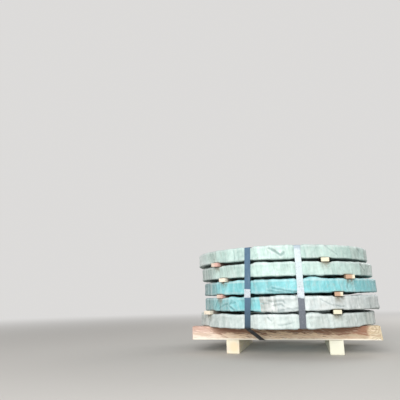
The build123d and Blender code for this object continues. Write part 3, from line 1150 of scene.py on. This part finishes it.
def plain_timber(settings):
    """Runner: clean pale wood, a little darker in its heart."""
    finish, tree, shader = new_finish("runner_wood")
    place = object_place(tree)
    cream, yellow, brown = map(rgb, (settings.cream, settings.yellow, settings.brown))
    body = blend(tree, spread(tree, mottle(tree, place, 17), 0.35, 0.65), yellow, cream)
    late = blend(tree, 1.0, body, (0.96, 0.88, 0.72), "MULTIPLY")
    grain, body, fibres, rings = wood_pattern(tree, body, late, 8 * MM)
    low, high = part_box("runner_left")
    heart = stretched(tree, place, (1, 0, 1), (-(low.x + high.x) / 2 - 0.006, 0, -(low.z + high.z) / 2))
    from_heart = add(tree, "ShaderNodeVectorMath", {0: heart}, operation="LENGTH").outputs["Value"]
    x, _, _ = axes(tree, place)
    heartwood, right_runner = (0.98, 0.78, 0.52), (0.94, 0.96, 0.80)
    body = layered(
        tree, body,
        (spread(tree, from_heart, 0.014, 0.036, 0.75, 0.0), heartwood),
        (spread(tree, x, 0, 0.1, 0.0, 0.7), right_runner),
        (spread(tree, mottle(tree, place, 26, 5, 0.65), 0.58, 0.80, 0.0, 0.35), brown),
    )
    wood_surface(tree, shader, body, grain, fibres, rings)
    return finish


def timber_from(node, settings, seed, lengthwise):
    """A sawn timber of a node's own size and place."""
    low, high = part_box(node)
    size = high - low
    turn = 0 if lengthwise == "x" else pi / 2
    local = (size.x, size.y, size.z) if lengthwise == "x" else (size.y, size.x, size.z)
    bar = sawn_bar(f"sawn_{node}", local, 10 * MM, settings.edge, settings.rough, seed)
    place_bar(bar, (low + high) / 2, turn)
    return bar


class COILPACK_OT_cross_timbers(bpy.types.Operator):
    """Saw the two timbers that the lowest coil lies on"""

    bl_idname = "coilpack.cross_timbers"
    bl_label = "Saw the cross timbers"

    def execute(self, context):
        settings = context.scene.coil_wood
        finish = stained_timber(settings)
        for seed, end in enumerate(("front", "back"), start=3):
            node = f"cross_timber_{end}"
            bar = timber_from(node, settings, seed, "x")
            self.press(bar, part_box(node)[1].z)
            self.slant_end(bar, *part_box(node))
            smooth(bar)
            stand_in(bar, node, finish)
        return {"FINISHED"}

    @staticmethod
    def press(bar, top):
        """Presses the grooves of the straps that lie on the timber, the right ones, into it."""
        for line, name in zip(STRAP_LINES, STRAPS):
            if name.endswith("left"):
                continue
            for vertex in bar.data.vertices:
                if line.beside(*vertex.co) < GROOVE_MARGIN and vertex.co.z > top - GROOVE:
                    vertex.co.z = top - GROOVE

    @staticmethod
    def slant_end(bar, low, high):
        """Leaves the right end sawn out of square, shorter at its top."""
        for vertex in bar.data.vertices:
            if vertex.co.x > high.x - 4 * MM:
                vertex.co.x -= OUT_OF_SQUARE * (vertex.co.z - low.z) / (high.z - low.z)


class COILPACK_OT_runners(bpy.types.Operator):
    """Saw the two runners that the pack stands on"""

    bl_idname = "coilpack.runners"
    bl_label = "Saw the runners"

    def execute(self, context):
        settings = context.scene.coil_wood
        finish = plain_timber(settings)
        for seed, side in enumerate(("left", "right"), start=7):
            node = f"runner_{side}"
            bar = timber_from(node, settings, seed, "y")
            smooth(bar)
            stand_in(bar, node, finish)
        return {"FINISHED"}


# The straps and seals

# Shades of the straps beside those that a user may change
STEEL = {
    "rubbed": (0.42, 0.48, 0.54), "low": (0.045, 0.075, 0.105), "shadow": (0.018, 0.020, 0.022),
    "shade over top": (0.30, 0.38, 0.46), "fleck": (0.45, 0.45, 0.47),
}


def blued_finish(base):
    """Painted steel strapping: smooth dark paint, rubbed along its length, painted darker towards the floor
    as shade, with a painted shadow at the deck.
    """
    finish, tree, shader = new_finish("blued_strapping")
    place = object_place(tree)
    scuff = streaky(tree, place, (90, 90, 7), 4)
    blotch = mottle(tree, place, 35, 4)
    _, _, height = axes(tree, place)
    uneven = raggedly(tree, place, 22, 0.05, height)
    top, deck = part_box("coil_4")[1].z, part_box("cross_timber_front")[1].z
    body = layered(
        tree, base,
        (spread(tree, blotch, 0.4, 0.7, 0.0, 0.5), rgb(base, 0.62)),
        (spread(tree, scuff, 0.60, 0.80, 0.0, 0.55), STEEL["rubbed"]),
        # Painted shade growing from above the fourth coil's top down to the deck, then a painted shadow at
        # the deck
        (spread(tree, uneven, deck + 0.02, top + 0.05, 0.75, 0.0), STEEL["low"]),
        (spread(tree, height, deck - 0.004, deck + 0.016, 0.9, 0.0), STEEL["shadow"]),
    )
    connect(tree, shader, {
        "Base Color": body,
        "Metallic": 0.35,
        "Roughness": spread(tree, blotch, 0.3, 0.7, 0.30, 0.52),
        "Normal": embossed(tree, (scuff, 0.15 * MM, 0.35)),
    })
    return finish


def zinc_finish(name, base, dirt_and_shade, shaded_below=None):
    """Zinc coated steel with a fine spangle and patches of dirt; below a height, where one is given, it is
    painted darker as shade, with pale flecks, and painted shade lies under its top.
    """
    finish, tree, shader = new_finish(name)
    place = object_place(tree)
    spangle = add(tree, "ShaderNodeTexVoronoi", {"Vector": place, "Scale": 210.0}).outputs["Color"]
    flakes = add(tree, "ShaderNodeSeparateColor", {0: spangle}).outputs[0]
    specks = mottle(tree, place, 190, 3, 0.7)
    body = layered(
        tree, base,
        (spread(tree, flakes, 0, 1, 0.0, 0.35), rgb(base, 0.78)),
        (spread(tree, specks, 0.54, 0.66, 0.0, 0.8), rgb(base, 0.55)),
    )
    if shaded_below is not None:
        _, _, height = axes(tree, place)
        ragged = raggedly(tree, place, 60, 0.02, height)
        # Painted shade below the foot of the seal
        low = spread(tree, ragged, shaded_below, shaded_below + 8 * MM, 1.0, 0.0)
        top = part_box("strap_front_right")[1].z
        body = layered(
            tree, body,
            (low, dirt_and_shade),
            # Painted shade just under the strap's top
            (spread(tree, ragged, top - 18 * MM, top - 2 * MM, 0.0, 0.6), STEEL["shade over top"]),
            (times(tree, low, spread(tree, specks, 0.5, 0.75, 0.0, 0.6)), STEEL["fleck"]),
        )
    soiled = spread(tree, mottle(tree, place, 24, 4), 0.55, 0.8, 0.0, 0.5)
    connect(tree, shader, {
        "Base Color": blend(tree, soiled, body, rgb(dirt_and_shade, 1.3)),
        "Metallic": 0.45,
        "Roughness": spread(tree, flakes, 0, 1, 0.30, 0.46),
        "Normal": embossed(tree, (specks, 0.12 * MM, 0.35)),
    })
    return finish


class COILPACK_OT_straps(bpy.types.Operator):
    """Paint the left straps and zinc coat the right ones"""

    bl_idname = "coilpack.straps"
    bl_label = "Finish the straps"

    def execute(self, context):
        settings = context.scene.coil_steel
        blued = blued_finish(rgb(settings.blued))
        seal_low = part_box("seal_front_right")[0].z
        zinc = zinc_finish("zinc_strapping", rgb(settings.zinc), rgb(settings.dirt_and_shade), seal_low)
        for name in STRAPS:
            coat(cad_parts[f"strap_{name}"], blued if name.endswith("left") else zinc)
        return {"FINISHED"}


class COILPACK_OT_seals(bpy.types.Operator):
    """Give the crimped seals their bright zinc"""

    bl_idname = "coilpack.seals"
    bl_label = "Finish the seals"

    def execute(self, context):
        settings = context.scene.coil_steel
        finish = zinc_finish("bright_seal", rgb(settings.seal), rgb(settings.dirt_and_shade))
        for name in STRAPS:
            coat(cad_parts[f"seal_{name}"], finish)
        return {"FINISHED"}


# The stage

def looked_at(tree):
    """1 where the camera looks, straight or through a reflection or glass."""
    path = add(tree, "ShaderNodeLightPath")
    seen = maths(tree, "MAXIMUM", path.outputs["Is Camera Ray"], path.outputs["Is Transmission Ray"])
    return maths(tree, "MAXIMUM", seen, path.outputs["Is Glossy Ray"])


def floor_finish(base, far_off):
    """A plain floor that passes into the background far from the pack."""
    finish, tree, shader = new_finish("plain_floor")
    connect(tree, shader, {"Base Color": (*base, 1), "Roughness": 0.9, "Specular IOR Level": 0.1})
    away = add(tree, "ShaderNodeVectorMath", {0: object_place(tree)}, operation="LENGTH").outputs[1]
    share = times(tree, spread(tree, away, 1.6, 7.0), looked_at(tree))
    glow = add(tree, "ShaderNodeEmission", {"Color": (*far_off, 1), "Strength": 1.0}).outputs[0]
    mixed = add(tree, "ShaderNodeMixShader", {0: share, 1: shader.outputs[0], 2: glow}).outputs[0]
    tree.links.new(mixed, tree.nodes["Material Output"].inputs["Surface"])
    return finish


def soft_light(name, place, target, size, power):
    bpy.ops.object.light_add(type="AREA", location=place)
    lamp = bpy.context.object
    lamp.name = name
    lamp.data.shape = "SQUARE"
    lamp.data.size = size
    lamp.data.energy = power
    lamp.rotation_euler = (Vector(target) - Vector(place)).to_track_quat("-Z", "Y").to_euler()


def aim(settings):
    """The camera's turn: columns to its right, up and back."""
    yaw, pitch, roll = -settings.yaw, settings.pitch, settings.roll
    ahead = Vector((sin(yaw) * cos(pitch), cos(yaw) * cos(pitch), sin(pitch)))
    right = Vector((cos(yaw), -sin(yaw), 0))
    above = right.cross(ahead)
    side = cos(roll) * right + sin(roll) * above
    top = -sin(roll) * right + cos(roll) * above
    return Matrix((side, top, -ahead)).transposed()


class COILPACK_OT_stage(bpy.types.Operator):
    """Set the plain floor, the soft light and the camera"""

    bl_idname = "coilpack.stage"
    bl_label = "Set the stage"

    def execute(self, context):
        scene = context.scene
        settings = scene.coil_stage
        bpy.ops.object.select_all(action="DESELECT")
        bpy.ops.mesh.primitive_plane_add(size=80, location=(0, 0, -0.3 * MM))
        floor = bpy.context.object
        floor.name = "floor"
        coat(floor, floor_finish(rgb(settings.floor), rgb(settings.backdrop)))
        self.light_sky(scene, settings.sky, rgb(settings.backdrop))
        heart = (0, 0, 0.3)
        soft_light("key_light", (-0.2, -4.6, 1.75), heart, size=2.2, power=settings.key)
        soft_light("fill_light", (2.6, 3.2, 2.4), heart, size=2.4, power=settings.fill)
        bpy.ops.object.camera_add(location=settings.camera_place)
        camera = bpy.context.object
        camera.matrix_world = Matrix.Translation(settings.camera_place) @ aim(settings).to_4x4()
        camera.data.lens = settings.focal * camera.data.sensor_width
        scene.camera = camera
        scene.view_settings.view_transform = "Standard"
        return {"FINISHED"}

    @staticmethod
    def light_sky(scene, strength, backdrop):
        """An even white sky that shows the backdrop's colour to the camera and in reflections."""
        world = bpy.data.worlds.new("even_sky")
        world.use_nodes = True
        scene.world = world
        tree = world.node_tree
        seen = looked_at(tree)
        connect(tree, tree.nodes["Background"], {
            "Color": blend(tree, seen, (1.0, 1.0, 1.0), backdrop),
            "Strength": spread(tree, seen, 0, 1, strength, 1.0),
        })


# The add-on

STEPS = [
    COILPACK_OT_coils, COILPACK_OT_wraps, COILPACK_OT_laths, COILPACK_OT_cross_timbers,
    COILPACK_OT_runners, COILPACK_OT_straps, COILPACK_OT_seals, COILPACK_OT_stage,
]
SETTINGS = {
    "coil_wraps": WrapSettings, "coil_wood": WoodSettings,
    "coil_steel": SteelSettings, "coil_stage": StageSettings,
}


class COILPACK_PT_panel(bpy.types.Panel):
    """Lists the steps that finish the pack and their settings"""

    bl_label = "Coil Pack"
    bl_idname = "COILPACK_PT_panel"
    bl_space_type = "VIEW_3D"
    bl_region_type = "UI"
    bl_category = "Coil Pack"

    def draw(self, context):
        for step in STEPS:
            self.layout.operator(step.bl_idname)
        for name, kind in SETTINGS.items():
            box = self.layout.box()
            for key in kind.__annotations__:
                box.prop(getattr(context.scene, name), key)


def register():
    for kind in (*SETTINGS.values(), *STEPS, COILPACK_PT_panel):
        bpy.utils.register_class(kind)
    for name, kind in SETTINGS.items():
        setattr(bpy.types.Scene, name, bpy.props.PointerProperty(type=kind))


def unregister():
    for name in SETTINGS:
        delattr(bpy.types.Scene, name)
    for kind in reversed((*SETTINGS.values(), *STEPS, COILPACK_PT_panel)):
        bpy.utils.unregister_class(kind)


def main():
    register()
    for step in STEPS:
        group, name = step.bl_idname.split(".")
        getattr(getattr(bpy.ops, group), name)()


if __name__ == "__main__":
    main()
